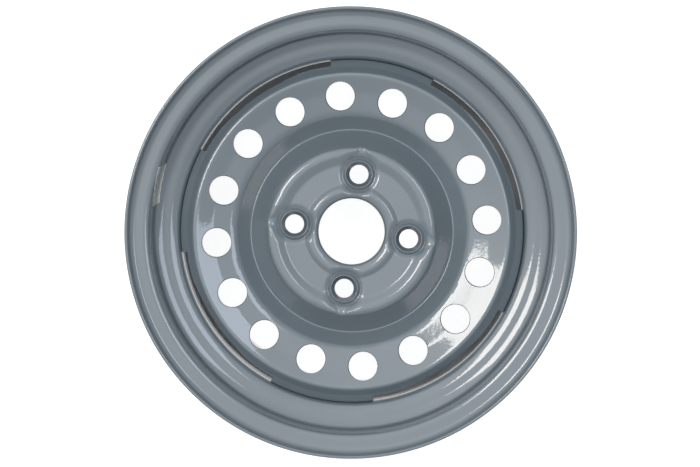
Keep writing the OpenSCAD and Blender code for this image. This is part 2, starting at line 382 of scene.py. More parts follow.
def closed_sheet(name, front, back, faces, round_front, round_back):
    """A sheet's mesh from its front and back faces, closed with rounded edges.

    Each boundary vertex stands inside the true edge by its radius of rounding.
    """
    count = len(front)
    follows = {}
    seen = set()
    for face in faces:
        for a, b in zip(face, face[1:] + face[:1]):
            seen.add((a, b))
    for a, b in seen:
        if (b, a) not in seen:
            follows[a] = b
    before = {b: a for a, b in follows.items()}
    rim = np.array(sorted(follows))
    ahead = np.array([follows[v] for v in rim])
    behind = np.array([before[v] for v in rim])

    def unit(v):
        return v / np.linalg.norm(v, axis=1)[:, None]

    wall = unit(back[rim] - front[rim])
    out_a = unit(np.cross(unit(front[ahead] - front[rim]), -wall))
    out_b = unit(np.cross(unit(front[rim] - front[behind]), -wall))
    out = unit(out_a + out_b)
    out = out / np.maximum(np.sum(out * out_a, axis=1), MITRE_LEAST)[:, None]
    places = [front, back]
    rows = [rim]
    start = 2 * count
    near, far = round_front[rim][:, None], round_back[rim][:, None]
    for i in range(1, EDGE_STEPS + 1):
        t = math.pi / 2 * i / EDGE_STEPS
        places.append(front[rim] + near * (out * math.sin(t) + wall * (1 - math.cos(t))))
        rows.append(np.arange(start, start + len(rim)))
        start += len(rim)
    for i in range(EDGE_STEPS, 0, -1):
        t = math.pi / 2 * i / EDGE_STEPS
        places.append(back[rim] + far * (out * math.sin(t) - wall * (1 - math.cos(t))))
        rows.append(np.arange(start, start + len(rim)))
        start += len(rim)
    rows.append(rim + count)
    order = {v: k for k, v in enumerate(rim)}
    polygons = [tuple(f) for f in faces] + [tuple(v + count for v in reversed(f)) for f in faces]
    for a, b in follows.items():
        i, j = order[a], order[b]
        for upper, lower in zip(rows, rows[1:]):
            polygons.append((upper[j], upper[i], lower[i], lower[j]))
    verts = np.concatenate(places) * MM
    mesh = bpy.data.meshes.new(name)
    mesh.from_pydata(verts.tolist(), [], [[int(v) for v in p] for p in polygons])
    work = bmesh.new()
    work.from_mesh(mesh)
    loose = [v for v in work.verts if not v.link_faces]
    bmesh.ops.delete(work, geom=loose, context="VERTS")
    work.to_mesh(mesh)
    work.free()
    smooth_mesh(mesh, 50)
    return mesh


# The disc's mesh: rings that follow its profile, with a patch of its own round each hole

COLUMNS = 256
QUARTER = COLUMNS // STUD_COUNT
STUD_SPAN = 16
VENT_SPAN = 6
VENT_COLUMN = 9
TAB_FIRST, TAB_LAST = -15, 10

# Radii of the rounded edges: trimmed, at a nut seat's hole, at a vent, and at a burr on the back
EDGE_ROUND = 0.5
SEAT_ROUND = 0.25
PIERCED_ROUND = 1.0
BURR_ROUND = 0.3

# Radii between which the studs and the vents have their patches, and where rings begin to close up
STUD_PATCH = 32.3, 76
VENT_PATCH = 102.3, 132.5
TRIM_FROM = 137

# Longest step along the profile in the hub, in the ring of vents and in the skirt
HUB_STEP = 1.9
RING_STEP = 2.6
SKIRT_STEP = 7.0

# The trimmed edge stands further out at a slot's ends, and eases in between these degrees from an end
TRIM_OUT = 0.7
TRIM_DIP = 1.6
TRIM_EASE = 9, 19


class DiscGrid:
    """The disc's front and back as rings of points, from the bore out to the skirt."""

    def __init__(self, shape):
        self.shape = shape
        corners = shape.disc_corners()

        def line_step(radius):
            if radius < STUD_PATCH[1]:
                return HUB_STEP
            return RING_STEP if radius < shape.skirt_mid - 1 else SKIRT_STEP

        self.front, self.middle, self.back = sheet_lines(corners, shape.disc_t, math.radians(14), line_step)
        for line in (self.front, self.middle, self.back):
            line[0, 1] += EDGE_ROUND
            line[-1, 1] += EDGE_ROUND
        self.rings = len(self.front)
        self.stud_rows = [self.ring_at(radius) for radius in STUD_PATCH]
        self.vent_rows = [self.ring_at(radius) for radius in VENT_PATCH]
        self.bend_row = self.ring_at(TRIM_FROM)
        self.trim_row = self.ring_at(shape.rim_bore - shape.slot_gap - 0.6)

    def ring_at(self, radius):
        """The first ring whose middle is at a radius."""
        return int(np.argmax(self.middle[:, 0] >= radius - 0.4))

    def angles(self):
        """Angles of all points, as rings by columns, warped so that the vents and tabs fall on columns."""
        step = 2 * math.pi / COLUMNS
        column = np.arange(COLUMNS)
        radius = self.middle[:, 0][:, None]
        vent_shift = VENT_TURN - VENT_COLUMN * step
        local = (column - TAB_FIRST) % QUARTER
        tab = TAB_LAST - TAB_FIRST
        inset = EDGE_ROUND / self.shape.skirt_mid
        first, last = TAB_TURN - TAB_HALF + inset, TAB_TURN + TAB_HALF - inset
        quarter_turn = 2 * math.pi / STUD_COUNT
        target = np.where(local <= tab, first + (last - first) * local / tab,
                          last + (first + quarter_turn - last) * (local - tab) / (QUARTER - tab))
        tab_shift = target - (TAB_FIRST + local) * step
        to_vent = ease(radius, 80, 100)
        to_tab = ease(radius, VENT_PATCH[1], 141)
        return column * step + to_vent * (1 - to_tab) * vent_shift + to_tab * tab_shift

    def points(self):
        """Front and back positions, as rings by columns by xyz, in millimetres."""
        turn = self.angles()
        place = np.repeat(np.arange(self.rings, dtype=float)[:, None], COLUMNS, axis=1)
        local = (np.arange(COLUMNS) - TAB_LAST) % QUARTER
        slot = QUARTER - (TAB_LAST - TAB_FIRST)
        span = (2 * math.pi / STUD_COUNT - 2 * TAB_HALF) / slot
        from_end = np.minimum(local, slot - local) * math.degrees(span)
        edge_r = self.shape.rim_bore - self.shape.slot_gap + TRIM_OUT
        trim_r = edge_r - TRIM_DIP * ease(from_end, *TRIM_EASE) - EDGE_ROUND
        rows = np.arange(self.bend_row, self.trim_row + 1)
        for j in range(COLUMNS):
            if local[j] > slot:
                continue
            end = np.interp(trim_r[j], self.front[rows, 0], rows)
            reach = (rows - self.bend_row) * (end - self.bend_row)
            place[rows, j] = self.bend_row + reach / (rows[-1] - rows[0])
        whole = np.arange(self.rings)
        out = []
        for line in (self.front, self.back):
            r = np.interp(place, whole, line[:, 0])
            z = np.interp(place, whole, line[:, 1])
            out.append(np.stack([r * np.cos(turn), r * np.sin(turn), z], axis=2))
        return out

    def surface(self, line):
        """Height of the front or back at a radius, where it is a height of the radius alone."""
        start = int(np.argmax(self.middle[:, 0] > 32))
        return lambda r: np.interp(r, line[start:, 0], line[start:, 1])


# A channel runs out of each pad through the hat: its floor's height, where it begins, the slopes of its
# sides and its inner end, and its half widths at four distances from the axis, on the front and the back

NOTCH_H = 6.1
NOTCH_IN = 58
NOTCH_SIDE = 1.1
NOTCH_END = 2
NOTCH_AT = (60, 64, 70, 74)
NOTCH_FRONT = (9, 7.6, 3.0, 2.0)
NOTCH_BACK = (10.4, 9.0, 4.4, 3.4)

# Slopes of a pad's wall on the front and the back, how much wider the pad is behind for each millimetre
# of sheet, and the slope of a nut seat's outer flank

PAD_SIDE = 0.8
PAD_BACK_SIDE = 1.05
PAD_SPREAD = 0.414
FLANK_SIDE = 1.8


def channel(x, y, floor, half_widths):
    """Height of a channel with a floor at a height."""
    half = np.interp(x, NOTCH_AT, half_widths)
    return floor + np.maximum(np.abs(y) - half, 0) * NOTCH_SIDE + np.maximum(NOTCH_IN - x, 0) * NOTCH_END


def stud_front(x, y, shape, height):
    """Height of the disc's front near a stud, in that stud's own x (outwards) and y."""
    far = np.hypot(x - shape.stud_circle_d / 2, y)
    z = height(np.hypot(x, y))
    pad = shape.pad_d / 2
    dish = shape.disc_t + np.maximum(far - pad, 0) * PAD_SIDE
    z = smooth_min(z, channel(x, y, NOTCH_H, NOTCH_FRONT), 1.3)
    z = smooth_min(z, dish, 2.0)
    # The raised seat: a cone up from the hole, a narrow crest, and a steep flank
    seat_r, hole_r = shape.seat_d / 2, shape.stud_d / 2
    top = STUD_WALL + (seat_r - hole_r) / math.tan(SEAT_CONE / 2)
    cone = STUD_WALL + (far - hole_r) / math.tan(SEAT_CONE / 2)
    flank = top - (far - seat_r - 0.6) * FLANK_SIDE
    seat = smooth_min(smooth_min(cone, flank, 0.6), top, 0.25)
    return np.where(far < seat_r - 0.5, seat, smooth_max(z, seat, 1.2))


def stud_back(x, y, shape, height):
    """Height of the disc's back near a stud: a flat pad, with the channel's sheet behind it."""
    far = np.hypot(x - shape.stud_circle_d / 2, y)
    z = height(np.hypot(x, y))
    pad = shape.pad_d / 2 + PAD_SPREAD * shape.disc_t
    z = smooth_min(z, channel(x, y, NOTCH_H - shape.disc_t, NOTCH_BACK), 1.6)
    return np.maximum(smooth_min(z, np.maximum(far - pad, 0) * PAD_BACK_SIDE, 1.0), 0)


# Radii of the mesh's rings round a stud, and their distances from a vent's edge. Outside them, so many
# rows ease from the patch's outline to a circle.

STUD_LAYERS = (8.6, 9.4, 10.1, 10.7, 11.05, 11.35, 11.7, 12.05, 12.35, 12.65, 12.95, 13.3, 13.7, 14.1,
               14.6, 15.2, 15.9, 16.7)
VENT_LAYERS = (0.0, 0.5)
STUD_EASE_ROWS = 9
VENT_EASE_ROWS = 4


def loop_of(rows, first, last):
    """Ring and column of the points round a block of the grid, anticlockwise seen from the front."""
    low, high = rows
    across = list(range(first, last + 1))
    down = list(range(low, high + 1))
    # Seen from the front, columns run anticlockwise and rings run outwards
    loop = [(row, first) for row in down]
    loop += [(high, col) for col in across[1:]]
    loop += [(row, last) for row in reversed(down[:-1])]
    loop += [(low, col) for col in reversed(across[1:-1])]
    return loop


def build_disc(shape):
    """The disc's mesh, in metres."""
    grid = DiscGrid(shape)
    front_grid, back_grid = grid.points()
    rings = grid.rings
    front, back = [front_grid.reshape(-1, 3)], [back_grid.reshape(-1, 3)]
    total = rings * COLUMNS
    rounds = [(np.full(total, EDGE_ROUND), np.full(total, EDGE_ROUND))]

    def index(row, col):
        return row * COLUMNS + col % COLUMNS

    cut = np.zeros((rings - 1, COLUMNS), bool)
    blocks = []
    for k in range(STUD_COUNT):
        blocks.append((grid.stud_rows, k * QUARTER, STUD_SPAN, "stud", k))
    for k in range(VENT_COUNT):
        blocks.append((grid.vent_rows, VENT_COLUMN + k * COLUMNS // VENT_COUNT, VENT_SPAN, "vent", k))
    for rows, middle, span, _, _ in blocks:
        for col in range(middle - span, middle + span):
            cut[rows[0]:rows[1], col % COLUMNS] = True
    for col in range(COLUMNS):
        if (col - TAB_FIRST) % QUARTER >= TAB_LAST - TAB_FIRST:
            cut[grid.trim_row:, col] = True
    faces = []
    for row in range(rings - 1):
        for col in range(COLUMNS):
            if not cut[row, col]:
                faces.append([index(row, col), index(row + 1, col),
                              index(row + 1, col + 1), index(row, col + 1)])
    front_height = grid.surface(grid.front)
    back_height = grid.surface(grid.back)
    for rows, middle, span, kind, k in blocks:
        loop = [index(row, col) for row, col in loop_of(rows, middle - span, middle + span)]
        outer_f, outer_b = front[0][loop], back[0][loop]
        if kind == "stud":
            turn = 2 * math.pi * k / STUD_COUNT
            centre = np.array([math.cos(turn), math.sin(turn)]) * shape.stud_circle_d / 2
            hole = shape.stud_d / 2
            edge = (SEAT_ROUND, BURR_ROUND)
            radii_f, radii_b = [np.array((hole + e,) + STUD_LAYERS) for e in edge]
            steps = STUD_EASE_ROWS
        else:
            turn = VENT_TURN + 2 * math.pi * k / VENT_COUNT
            centre = np.array([math.cos(turn), math.sin(turn)]) * (shape.vent_circle - (k % 2) * VENT_STAGGER)
            hole = shape.vent_d / 2
            edge = (PIERCED_ROUND, BURR_ROUND)
            radii_f, radii_b = [hole + e + np.array(VENT_LAYERS) for e in edge]
            steps = VENT_EASE_ROWS
        layers = [loop]
        for n in range(1, steps + len(radii_f)):
            made = []
            for outer, radii in ((outer_f, radii_f), (outer_b, radii_b)):
                arm = outer[:, :2] - centre
                reach = np.linalg.norm(arm, axis=1)
                if n < steps:
                    size = reach + (radii[-1] - reach) * n / steps
                else:
                    size = np.full(len(reach), radii[len(radii) - 1 - (n - steps)])
                made.append(centre + arm / reach[:, None] * size[:, None])
            heights = []
            for xy, side in zip(made, (0, 1)):
                if kind == "stud":
                    x = xy @ [math.cos(turn), math.sin(turn)]
                    y = xy @ [-math.sin(turn), math.cos(turn)]
                    shaper, height = ((stud_front, front_height), (stud_back, back_height))[side]
                    heights.append(shaper(x, y, shape, height))
                else:
                    height = (front_height, back_height)[side]
                    heights.append(height(np.linalg.norm(xy, axis=1)))
            front.append(np.column_stack([made[0], heights[0]]))
            back.append(np.column_stack([made[1], heights[1]]))
            rounds.append((np.full(len(loop), edge[0]), np.full(len(loop), edge[1])))
            layers.append(list(range(total, total + len(loop))))
            total += len(loop)
        for outer, inner in zip(layers, layers[1:]):
            for i in range(len(loop)):
                j = (i + 1) % len(loop)
                faces.append([outer[j], outer[i], inner[i], inner[j]])
    return closed_sheet("disc", np.concatenate(front), np.concatenate(back), faces,
                        np.concatenate([r[0] for r in rounds]), np.concatenate([r[1] for r in rounds]))


def add(tree, kind, inputs=None, **settings):
    """Adds a node to a tree, with its settings, and its inputs as values or links."""
    node = tree.nodes.new(kind)
    for key, value in settings.items():
        setattr(node, key, value)
    for key, value in (inputs or {}).items():
        if isinstance(value, bpy.types.NodeSocket):
            tree.links.new(value, node.inputs[key])
        else:
            node.inputs[key].default_value = value
    return node


def new_tree(name, sockets):
    """A geometry tree with a mesh input, named inputs, and one geometry output."""
    tree = bpy.data.node_groups.new(name, "GeometryNodeTree")
    tree.interface.new_socket("Geometry", in_out="INPUT", socket_type="NodeSocketGeometry")
    for label, kind in sockets:
        tree.interface.new_socket(label, in_out="INPUT", socket_type="NodeSocket" + kind)
    tree.interface.new_socket("Geometry", in_out="OUTPUT", socket_type="NodeSocketGeometry")
    return tree, add(tree, "NodeGroupInput").outputs


def sums(tree):
    """A short way to write sums in a tree: calc("ADD", a, b)."""
    def calc(operation, *values):
        return add(tree, "ShaderNodeMath", dict(enumerate(values)), operation=operation).outputs[0]
    return calc


def end_tree(tree, geometry, material):
    """Ends a tree with its instances made real and its material set."""
    real = add(tree, "GeometryNodeRealizeInstances", {"Geometry": geometry}).outputs[0]
    done = add(tree, "GeometryNodeSetMaterial", {"Geometry": real, "Material": material}).outputs[0]
    add(tree, "NodeGroupOutput", {"Geometry": done})


def run_tree(name, mesh, tree, values):
    """Runs a tree on a mesh with its inputs set, and gives back the plain mesh that it makes."""
    base = plain_object(name + "_base", mesh)
    modifier = base.modifiers.new("shape", "NODES")
    modifier.node_group = tree
    for item in tree.interface.items_tree:
        if item.item_type == "SOCKET" and item.in_out == "INPUT" and item.name in values:
            modifier[item.identifier] = values[item.name]
    base.update_tag()
    seen = base.evaluated_get(bpy.context.evaluated_depsgraph_get())
    made = bpy.data.meshes.new_from_object(seen, depsgraph=bpy.context.evaluated_depsgraph_get())
    made.name = name
    base.modifiers.remove(modifier)
    bpy.data.objects.remove(base)
    bpy.data.node_groups.remove(tree)
    return made


def set_round_axis(tree, grid, flat, angle):
    """Sets a grid's points to places in the XZ plane, each turned round the wheel's axis."""
    turned = add(tree, "ShaderNodeVectorRotate", {"Vector": flat, "Angle": angle}, rotation_type="Z_AXIS")
    return add(tree, "GeometryNodeSetPosition", {
        "Geometry": grid.outputs["Mesh"], "Position": turned.outputs[0]}).outputs[0]


def rolled_tree():
    """Rolls a closed outline round the wheel's axis, with the butt weld's ridge and the valve hole."""
    tree, given = new_tree("Rolled rim", [
        ("Segments", "Int"), ("Butt angle", "Float"), ("Butt height", "Float"), ("Butt width", "Float"),
        ("Valve angle", "Float"), ("Valve diameter", "Float"), ("Valve radius", "Float"),
        ("Valve height", "Float"), ("Material", "Material")])
    calc = sums(tree)
    outline = given["Geometry"]
    count = add(tree, "GeometryNodeAttributeDomainSize", {"Geometry": outline}, component="MESH").outputs[0]
    across = calc("ADD", count, 1.0)
    along = calc("ADD", given["Segments"], 1.0)
    grid = add(tree, "GeometryNodeMeshGrid", {"Vertices X": along, "Vertices Y": across})
    index = add(tree, "GeometryNodeInputIndex").outputs[0]
    column = calc("FLOOR", calc("DIVIDE", calc("ADD", index, 0.5), across))
    point = calc("MODULO", calc("SUBTRACT", index, calc("MULTIPLY", column, across)), count)
    position = add(tree, "GeometryNodeInputPosition").outputs[0]
    way = add(tree, "GeometryNodeInputNamedAttribute", {"Name": "outward"},
              data_type="FLOAT_VECTOR").outputs[0]
    place, outward = [
        add(tree, "GeometryNodeSampleIndex", {"Geometry": outline, "Value": value, "Index": point},
            data_type="FLOAT_VECTOR", domain="POINT").outputs[0] for value in (position, way)]
    # Columns crowd together near the butt weld, so that its narrow ridge has points of its own
    even = calc("SUBTRACT", calc("MULTIPLY", calc("DIVIDE", column, given["Segments"]), 2 * math.pi), math.pi)
    crowd, reach = 0.86, 0.1
    pulled = calc("MULTIPLY", calc("TANH", calc("DIVIDE", even, reach)), crowd * reach)
    turn = calc("MULTIPLY", calc("SUBTRACT", even, pulled), math.pi / (math.pi - crowd * reach))
    radius = add(tree, "ShaderNodeSeparateXYZ", {0: place}).outputs["X"]
    arc = calc("DIVIDE", calc("MULTIPLY", turn, radius), given["Butt width"])
    fall = calc("EXPONENT", calc("MULTIPLY", calc("MULTIPLY", arc, arc), -1.0))
    bump = calc("MULTIPLY", given["Butt height"], fall)
    shifted = add(tree, "ShaderNodeVectorMath", {0: outward, "Scale": bump}, operation="SCALE").outputs[0]
    flat = add(tree, "ShaderNodeVectorMath", {0: place, 1: shifted}, operation="ADD").outputs[0]
    angle = calc("ADD", turn, given["Butt angle"])
    shell = set_round_axis(tree, grid, flat, angle)
    shell = add(tree, "GeometryNodeMergeByDistance", {"Geometry": shell, "Distance": 1e-6}).outputs[0]
    shell = add(tree, "GeometryNodeFlipFaces", {"Mesh": shell}).outputs[0]
    punch = add(tree, "GeometryNodeMeshCylinder", {
        "Vertices": 48, "Depth": 0.012,
        "Radius": calc("MULTIPLY", given["Valve diameter"], 0.5)}).outputs["Mesh"]
    spot = add(tree, "ShaderNodeCombineXYZ", {
        "X": given["Valve radius"], "Z": given["Valve height"]}).outputs[0]
    punch = add(tree, "GeometryNodeTransform", {"Geometry": punch, "Translation": spot,
                                                "Rotation": (0, math.pi / 2, 0)}).outputs[0]
    turned = add(tree, "ShaderNodeCombineXYZ", {"Z": given["Valve angle"]}).outputs[0]
    punch = add(tree, "GeometryNodeTransform", {"Geometry": punch, "Rotation": turned}).outputs[0]
    holed = add(tree, "GeometryNodeMeshBoolean", {"Mesh 1": shell, "Mesh 2": punch}, operation="DIFFERENCE",
                solver="EXACT").outputs["Mesh"]
    end_tree(tree, holed, given["Material"])
    return tree


def rim_outline(shape):
    """The rim's closed outline as a mesh of points, each with the way out of the sheet."""
    corners = shape.rim_corners()
    front, middle, back = sheet_lines(corners, shape.rim_t, math.radians(12), lambda _radius: 5.0)
    half = shape.rim_t / 2
    # The two cut edges are rolled smooth, so each ends in a round nose
    points, ways = [], []

    def nose(centre, along, up):
        for k in range(1, 6):
            t = math.pi * k / 6
            way = math.sin(t) * along + math.cos(t) * up
            points.append(centre + way * half)
            ways.append(way)

    first = middle[1] - middle[0]
    first = first / np.linalg.norm(first)
    last = middle[-1] - middle[-2]
    last = last / np.linalg.norm(last)
    front_way, back_way = front - middle, back - middle
    for k, (p, way) in enumerate(zip(front, front_way)):
        inset = first * half if k == 0 else -last * half if k == len(front) - 1 else 0
        points.append(p + inset)
        ways.append(way / half)
    nose(middle[-1] - last * half, last, front_way[-1] / half)
    for k, (p, way) in reversed(list(enumerate(zip(back, back_way)))):
        inset = first * half if k == 0 else -last * half if k == len(front) - 1 else 0
        points.append(p + inset)
        ways.append(way / half)
    nose(middle[0] + first * half, -first, back_way[0] / half)
    mesh = bpy.data.meshes.new("rim_outline")
    mesh.from_pydata([(r * MM, 0, z * MM) for r, z in points],
                     [(i, (i + 1) % len(points)) for i in range(len(points))], [])
    outward = mesh.attributes.new("outward", "FLOAT_VECTOR", "POINT")
    outward.data.foreach_set("vector", [c for r, z in ways for c in (r, 0, z)])
    return mesh


def bead_tree():
    """A rippled weld bead along an arc, tapered to closed ends."""
    tree, given = new_tree("Weld bead", [
        ("Radius", "Float"), ("Height", "Float"), ("Thickness", "Float"), ("Start", "Float"),
        ("Sweep", "Float"), ("Ripple pitch", "Float"), ("Ripple depth", "Float"), ("Wander", "Float"),
        ("Seed", "Float"), ("Material", "Material")])
    calc = sums(tree)
    along, around = 200, 15
    grid = add(tree, "GeometryNodeMeshGrid", {"Vertices X": along + 1, "Vertices Y": around})
    index = add(tree, "GeometryNodeInputIndex").outputs[0]
    column = calc("FLOOR", calc("DIVIDE", calc("ADD", index, 0.5), float(around)))
    step = calc("SUBTRACT", index, calc("MULTIPLY", column, float(around)))
    turn = calc("MULTIPLY", calc("DIVIDE", step, around - 1.0), 2 * math.pi)
    share = calc("DIVIDE", column, float(along))
    # Both ends close in a round nose
    from_end = calc("MINIMUM", share, calc("SUBTRACT", 1.0, share))
    nose = calc("MINIMUM", calc("DIVIDE", from_end, 0.035), 1.0)
    nose = calc("SUBTRACT", calc("MULTIPLY", nose, 2.0), calc("MULTIPLY", nose, nose))
    nose = calc("SQRT", calc("MAXIMUM", nose, 0.0))
    run = calc("MULTIPLY", calc("MULTIPLY", share, given["Sweep"]), given["Radius"])
    # The bead wanders about once in 5 mm
    noise_at = add(tree, "ShaderNodeCombineXYZ", {
        "X": calc("MULTIPLY", run, 190.0), "Y": given["Seed"]}).outputs[0]
    noise = add(tree, "ShaderNodeTexNoise", {"Vector": noise_at, "Scale": 1.0, "Detail": 2.0}).outputs["Fac"]
    drift = calc("MULTIPLY", calc("SUBTRACT", noise, 0.5), given["Wander"])
    # Each ripple is a crescent, further along in the middle of the bead than at its toes
    lag = calc("MULTIPLY", calc("COSINE", calc("SUBTRACT", turn, 3.93)), 0.9)
    phase = calc("ADD", calc("MULTIPLY", calc("DIVIDE", run, given["Ripple pitch"]), 2 * math.pi), lag)
    phase = calc("ADD", phase, calc("MULTIPLY", noise, 2.0))
    ripple = calc("MULTIPLY", calc("ABSOLUTE", calc("SINE", phase)), given["Ripple depth"])
    size = calc("MULTIPLY", calc("ADD", calc("ADD", given["Thickness"], ripple), drift), nose)
    r = calc("ADD", given["Radius"], calc("MULTIPLY", calc("COSINE", turn), size))
    z = calc("ADD", given["Height"], calc("MULTIPLY", calc("SINE", turn), size))
    flat = add(tree, "ShaderNodeCombineXYZ", {"X": r, "Z": z}).outputs[0]
    angle = calc("ADD", given["Start"], calc("MULTIPLY", share, given["Sweep"]))
    bead = set_round_axis(tree, grid, flat, angle)
    bead = add(tree, "GeometryNodeMergeByDistance", {"Geometry": bead, "Distance": 2e-6}).outputs[0]
    end_tree(tree, bead, given["Material"])
    return tree


# The label's ends, its outer edge at each end and its width as pixels from the wheel's middle in the
# picture, its turn across its width, and the height of its front and back above the enamel

LABEL_ENDS = math.radians(168.0), math.radians(179.6)
LABEL_OUTER = 203.9, 201.2
LABEL_WIDE = 5.8
LABEL_LEAN = math.radians(1.3)
LABEL_LIFTS = 0.32, 0.12


def build_label(shape):
    """A blank strip of paper, stuck a little askew over the corner of the bead seat and the well's wall."""
    corners = shape.rim_corners()
    _, middle, inner = sheet_lines(corners, shape.rim_t, math.radians(6), lambda _radius: 0.8)
    # The air side of the outboard seat and wall, from the foot of the flange to the well
    side = [(p, q) for p, q in zip(inner, middle)
            if q[1] > shape.well_out + 2 and q[0] < shape.heel_mid + 4]
    line = np.array([p for p, _ in side])
    way = np.array([(p - q) / np.linalg.norm(p - q) for p, q in side])
    run = np.concatenate([[0], np.cumsum(np.linalg.norm(np.diff(line, axis=0), axis=1))])
    far = np.array([LENS_AWAY - z for z in line[:, 1]])
    seen = line[:, 0] / far * LENS_PIXELS
    keep = seen > 188
    start, end = LABEL_ENDS
    long_steps, wide_steps = 48, 14
    verts = []
    for side_shift in LABEL_LIFTS:
        for i in range(long_steps + 1):
            u = i / long_steps
            for k in range(wide_steps + 1):
                v = k / wide_steps
                turn = start + (end - start) * u + LABEL_LEAN * (0.5 - v)
                outer = LABEL_OUTER[0] + (LABEL_OUTER[1] - LABEL_OUTER[0]) * u
                wide = LABEL_WIDE + 0.12 * math.sin(u * 21) + 0.1 * math.sin(u * 47 + 1)
                pixel = outer - wide * v
                s = float(np.interp(-pixel, -seen[keep], run[keep]))
                p = np.array([np.interp(s, run, line[:, 0]), np.interp(s, run, line[:, 1])])
                w = np.array([np.interp(s, run, way[:, 0]), np.interp(s, run, way[:, 1])])
                lift = side_shift + 0.12 * (1 + math.sin(u * 33 + 5 * v)) * 0.5
                r, z = p + w * lift
                verts.append((r * math.cos(turn) * MM, r * math.sin(turn) * MM, z * MM))
    row = wide_steps + 1
    count = (long_steps + 1) * row
    faces = []
    for i in range(long_steps):
        for k in range(wide_steps):
            a = i * row + k
            quad = [a, a + 1, a + 1 + row, a + row]
            faces += [quad, [count + v for v in reversed(quad)]]
    ring = list(range(row))
    ring += [i * row + wide_steps for i in range(1, long_steps + 1)]
    ring += [long_steps * row + k for k in range(wide_steps - 1, -1, -1)]
    ring += [i * row for i in range(long_steps - 1, 0, -1)]
    for a, b in zip(ring, ring[1:] + ring[:1]):
        faces.append([b, a, a + count, b + count])
    mesh = bpy.data.meshes.new("label")
    mesh.from_pydata(verts, [], faces)
    across = mesh.attributes.new("across", "FLOAT", "POINT")
    across.data.foreach_set("value", [(n % row) / wide_steps for n in range(2 * count)])
    work = bmesh.new()
    work.from_mesh(mesh)
    bmesh.ops.recalc_face_normals(work, faces=work.faces)
    work.to_mesh(mesh)
    work.free()
    smooth_mesh(mesh, 40)
    return mesh


def new_material(name):
    """An empty node material, its tree and its output."""
    mat = bpy.data.materials.new(name)
    mat.use_nodes = True
    tree = mat.node_tree
    tree.nodes.clear()
    return mat, tree, add(tree, "ShaderNodeOutputMaterial")


def gloss_enamel(finish):
    """Gloss stoving enamel on pressed steel, dipped and baked: a deep even grey under a wet shine."""
    name = "Gloss grey stoving enamel"
    if name in bpy.data.materials:
        return bpy.data.materials[name]
    mat, tree, out = new_material(name)
    where = add(tree, "ShaderNodeTexCoord").outputs["Object"]
    # The coat's orange peel, about 3 mm from crest to crest
    peel = add(tree, "ShaderNodeTexNoise", {
        "Vector": where, "Scale": 330.0, "Detail": 2.0, "Roughness": 0.45})
    # Slow waves that the press leaves in the sheet, about 25 mm long
    wave = add(tree, "ShaderNodeTexNoise", {"Vector": where, "Scale": 38.0, "Detail": 1.0})
    sheet = add(tree, "ShaderNodeBump", {"Height": wave.outputs["Fac"], "Strength": 0.16, "Distance": 0.0004})
    coat = add(tree, "ShaderNodeBump", {"Height": peel.outputs["Fac"], "Strength": 0.2, "Distance": 0.00012,
                                        "Normal": sheet.outputs["Normal"]})
    # The coat is a little thinner and darker in some places
    cloud = add(tree, "ShaderNodeTexNoise", {"Vector": where, "Scale": 14.0, "Detail": 3.0})
    tone = add(tree, "ShaderNodeValToRGB", {"Fac": cloud.outputs["Fac"]})
    tone.color_ramp.elements[0].position = 0.3
    tone.color_ramp.elements[0].color = finish.enamel_thin
    tone.color_ramp.elements[1].position = 0.7
    tone.color_ramp.elements[1].color = finish.enamel
    lacquer = add(tree, "ShaderNodeBsdfPrincipled", {
        "Base Color": tone.outputs["Color"], "Metallic": 0.0, "Roughness": 0.42, "IOR": 1.5,
        "Coat Weight": 1.0, "Coat Roughness": 0.06, "Coat IOR": 1.75,
        "Normal": sheet.outputs["Normal"], "Coat Normal": coat.outputs["Normal"]})
    tree.links.new(lacquer.outputs["BSDF"], out.inputs["Surface"])
    return mat


def label_paper(finish):
    """Uncoated label paper: matt and fibrous, cream at its edges and grey along its middle, a painted
    reflection.
    """
    mat, tree, out = new_material("Uncoated label paper")
    where = add(tree, "ShaderNodeTexCoord").outputs["Object"]
    across = add(tree, "ShaderNodeAttribute", attribute_name="across").outputs["Fac"]
    calc = sums(tree)
    # The label is painted greyer along its middle, in patches: a reflection painted into its colour
    middle = calc("SUBTRACT", 1.0, calc("MULTIPLY", calc("ABSOLUTE", calc("SUBTRACT", across, 0.5)), 2.0))
    reflection_patches = add(tree, "ShaderNodeTexNoise", {"Vector": where, "Scale": 260.0, "Detail": 4.0, "Roughness": 0.6})
    reflection_share = calc("MULTIPLY", middle, calc("MULTIPLY", reflection_patches.outputs["Fac"], 2.0))
    tone = add(tree, "ShaderNodeValToRGB", {"Fac": reflection_share})
    tone.color_ramp.elements[0].position = 0.15
    tone.color_ramp.elements[0].color = finish.paper
    tone.color_ramp.elements[1].position = 0.75
    tone.color_ramp.elements[1].color = finish.paper_painted_reflection
    # Paper fibres are finer than a pixel, so they are drawn at about half a millimetre
    fibre = add(tree, "ShaderNodeTexNoise", {"Vector": where, "Scale": 2000.0, "Detail": 3.0})
    rough = add(tree, "ShaderNodeBump", {"Height": fibre.outputs["Fac"], "Strength": 0.4, "Distance": 0.0001})
    sheet = add(tree, "ShaderNodeBsdfPrincipled", {
        "Base Color": tone.outputs["Color"], "Metallic": 0.0, "Roughness": 0.55, "IOR": 1.5,
        "Normal": rough.outputs["Normal"]})
    tree.links.new(sheet.outputs["BSDF"], out.inputs["Surface"])
    return mat


def unlit_rays(tree):
    """1 for the rays that see the background directly, in a gloss or through glass, and 0 for light."""
    calc = sums(tree)
    ray = add(tree, "ShaderNodeLightPath").outputs
    seen = calc("MAXIMUM", ray["Is Camera Ray"], ray["Is Glossy Ray"])
    return calc("MAXIMUM", seen, ray["Is Transmission Ray"])


BOARD_GLOW = 0.9


